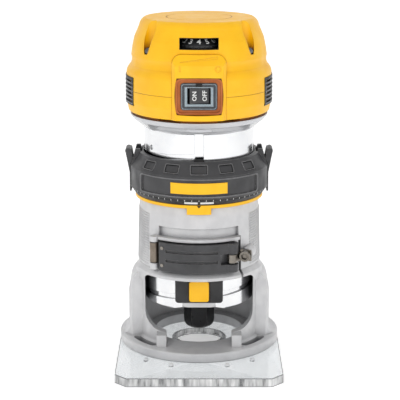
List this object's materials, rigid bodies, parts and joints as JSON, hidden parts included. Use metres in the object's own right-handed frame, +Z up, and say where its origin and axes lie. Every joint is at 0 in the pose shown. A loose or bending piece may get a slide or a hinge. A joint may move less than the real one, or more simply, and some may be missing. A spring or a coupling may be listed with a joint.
{
  "type": "trim router",
  "caption": "Upright trim router: round motor in a clamped fixed base with a height ring, D-shaped clear sub-base, collet, rocker switch and speed dial.",
  "frame": {"origin": "on the motor axis at the underside of the sub-base", "axes": "+Z up along the motor axis, -Y toward the switch and the flat edge of the base, +X to the right seen from the front"},
  "size_m": [0.102, 0.127, 0.2128],
  "materials": {
    "clear_base": "clear polycarbonate",
    "cast_aluminium": "fine sand-cast, satin",
    "ground_aluminium": "ground and lightly polished",
    "bright_steel": "bright zinc plated",
    "blued_steel": "blackened",
    "spring_steel": "warm grey spring steel",
    "plain_steel": "ground",
    "lamination": "stacked sheet",
    "copper": "enamelled copper wire",
    "brass": "drawn",
    "carbon": "pressed carbon",
    "yellow_plastic": "fine moulded texture",
    "dark_plastic": "satin moulded",
    "black_plastic": "moulded",
    "grey_plastic": "smooth",
    "clear_boot": "soft clear",
    "lens": "frosted",
    "board": "lacquered board",
    "black_rubber": "matt"
  },
  "bodies": {
    "base": {"sub_base": "clear_base", "sub_base_screws": "bright_steel", "sub_base_studs": "bright_steel", "base_casting": "cast_aluminium", "guide_pins": "plain_steel", "pointer_ring": "yellow_plastic", "clamp_anchor_pin": "bright_steel", "clamp_strap": "spring_steel", "eye_link": "bright_steel", "tension_screw": "bright_steel", "lever_pivot_pin": "plain_steel"},
    "lever": {"clamp_lever": "dark_plastic", "lever_rivets": "bright_steel"},
    "ring": {"depth_ring": "dark_plastic", "ring_badge": "yellow_plastic", "ring_followers": "plain_steel", "tab_pins": "plain_steel", "tab_spring_left": "plain_steel", "tab_spring_right": "plain_steel"},
    "zero_ring": {"scale_ring": "black_plastic"},
    "tab_left": {"release_tab_left": "dark_plastic"},
    "tab_right": {"release_tab_right": "dark_plastic"},
    "motor": {"motor_can": "ground_aluminium", "bearing_housing": "cast_aluminium", "bearing_retainer": "plain_steel", "retainer_screws": "bright_steel", "lower_bearing": "plain_steel", "upper_bearing": "plain_steel", "led_boards": "board", "led_lenses": "lens", "lock_frame": "black_plastic", "lock_spring": "plain_steel", "field_stack": "lamination", "field_coils": "copper", "brush_bridge": "black_plastic", "brush_holders": "brass", "brushes": "carbon", "brush_springs": "plain_steel", "lower_collar": "yellow_plastic", "top_cap": "yellow_plastic", "cap_screws": "bright_steel", "intake_grille_left": "black_plastic", "intake_grille_right": "black_plastic", "switch_panel": "yellow_plastic", "switch_bezel": "grey_plastic", "switch_boot": "clear_boot", "switch_body": "black_plastic", "control_board": "board", "cord_gland": "black_rubber"},
    "spindle": {"spindle": "plain_steel", "cooling_fan": "black_plastic", "armature_stack": "lamination", "armature_windings": "copper", "commutator": "copper"},
    "collet": {"collet": "plain_steel"},
    "nut": {"collet_nut": "blued_steel"},
    "lock": {"lock_button": "yellow_plastic", "lock_pin": "plain_steel"},
    "rocker": {"rocker": "dark_plastic"},
    "dial": {"speed_dial": "black_plastic"}
  },
  "joints": [
    {"name": "ring_turn", "type": "hinge", "parent": "base", "child": "ring", "pos_m": [0, 0, 0.11], "axis": [0, 0, 1], "range_deg": [-540.5, 360.5]},
    {"name": "motor_lift", "type": "slide", "parent": "base", "child": "motor", "axis": [0, 0, 1], "range_m": [-0.0127, 0.01905]},
    {"name": "scale_zero", "type": "hinge", "parent": "ring", "child": "zero_ring", "pos_m": [0, 0, 0.1046], "axis": [0, 0, 1], "range_deg": [-180, 180]},
    {"name": "tab_left_press", "type": "hinge", "parent": "ring", "child": "tab_left", "pos_m": [-0.0402, 0, 0.1134], "axis": [0, 1, 0], "range_deg": [0, 14], "stiffness_Nm_per_rad": 0.3, "springref_deg": -8.59, "deforming": ["tab_spring_left"]},
    {"name": "tab_right_press", "type": "hinge", "parent": "ring", "child": "tab_right", "pos_m": [0.0402, 0, 0.1134], "axis": [0, -1, 0], "range_deg": [0, 14], "stiffness_Nm_per_rad": 0.3, "springref_deg": -8.59, "deforming": ["tab_spring_right"]},
    {"name": "lever_swing", "type": "hinge", "parent": "base", "child": "lever", "pos_m": [0.0203, -0.0363, 0.07], "axis": [0, 0, 1], "range_deg": [0, 100]},
    {"name": "spindle_spin", "type": "hinge", "parent": "motor", "child": "spindle", "pos_m": [0, 0, 0.06], "axis": [0, 0, 1], "continuous": true},
    {"name": "collet_release", "type": "slide", "parent": "spindle", "child": "collet", "axis": [0, 0, -1], "range_m": [0, 0.0015]},
    {"name": "nut_turn", "type": "hinge", "parent": "collet", "child": "nut", "pos_m": [0, 0, 0.023], "axis": [0, 0, -1], "range_deg": [-0.5, 540.5]},
    {"name": "lock_press", "type": "slide", "parent": "motor", "child": "lock", "axis": [0, 1, 0], "range_m": [0, 0.004], "stiffness_N_per_m": 900, "springref_m": -0.002, "deforming": ["lock_spring"]},
    {"name": "rocker_tip", "type": "hinge", "parent": "motor", "child": "rocker", "pos_m": [0, -0.0395, 0.1705], "axis": [0, 0, -1], "range_deg": [0, 14]},
    {"name": "dial_turn", "type": "hinge", "parent": "motor", "child": "dial", "pos_m": [0, -0.0279, 0.201], "axis": [0, 0, 1], "range_deg": [0, 270]}
  ],
  "couplings": [
    {"joint": "ring_turn", "follows": "motor_lift", "rad_per_m": -494.74},
    {"joint": "nut_turn", "follows": "collet_release", "rad_per_m": 6283.2}
  ]
}
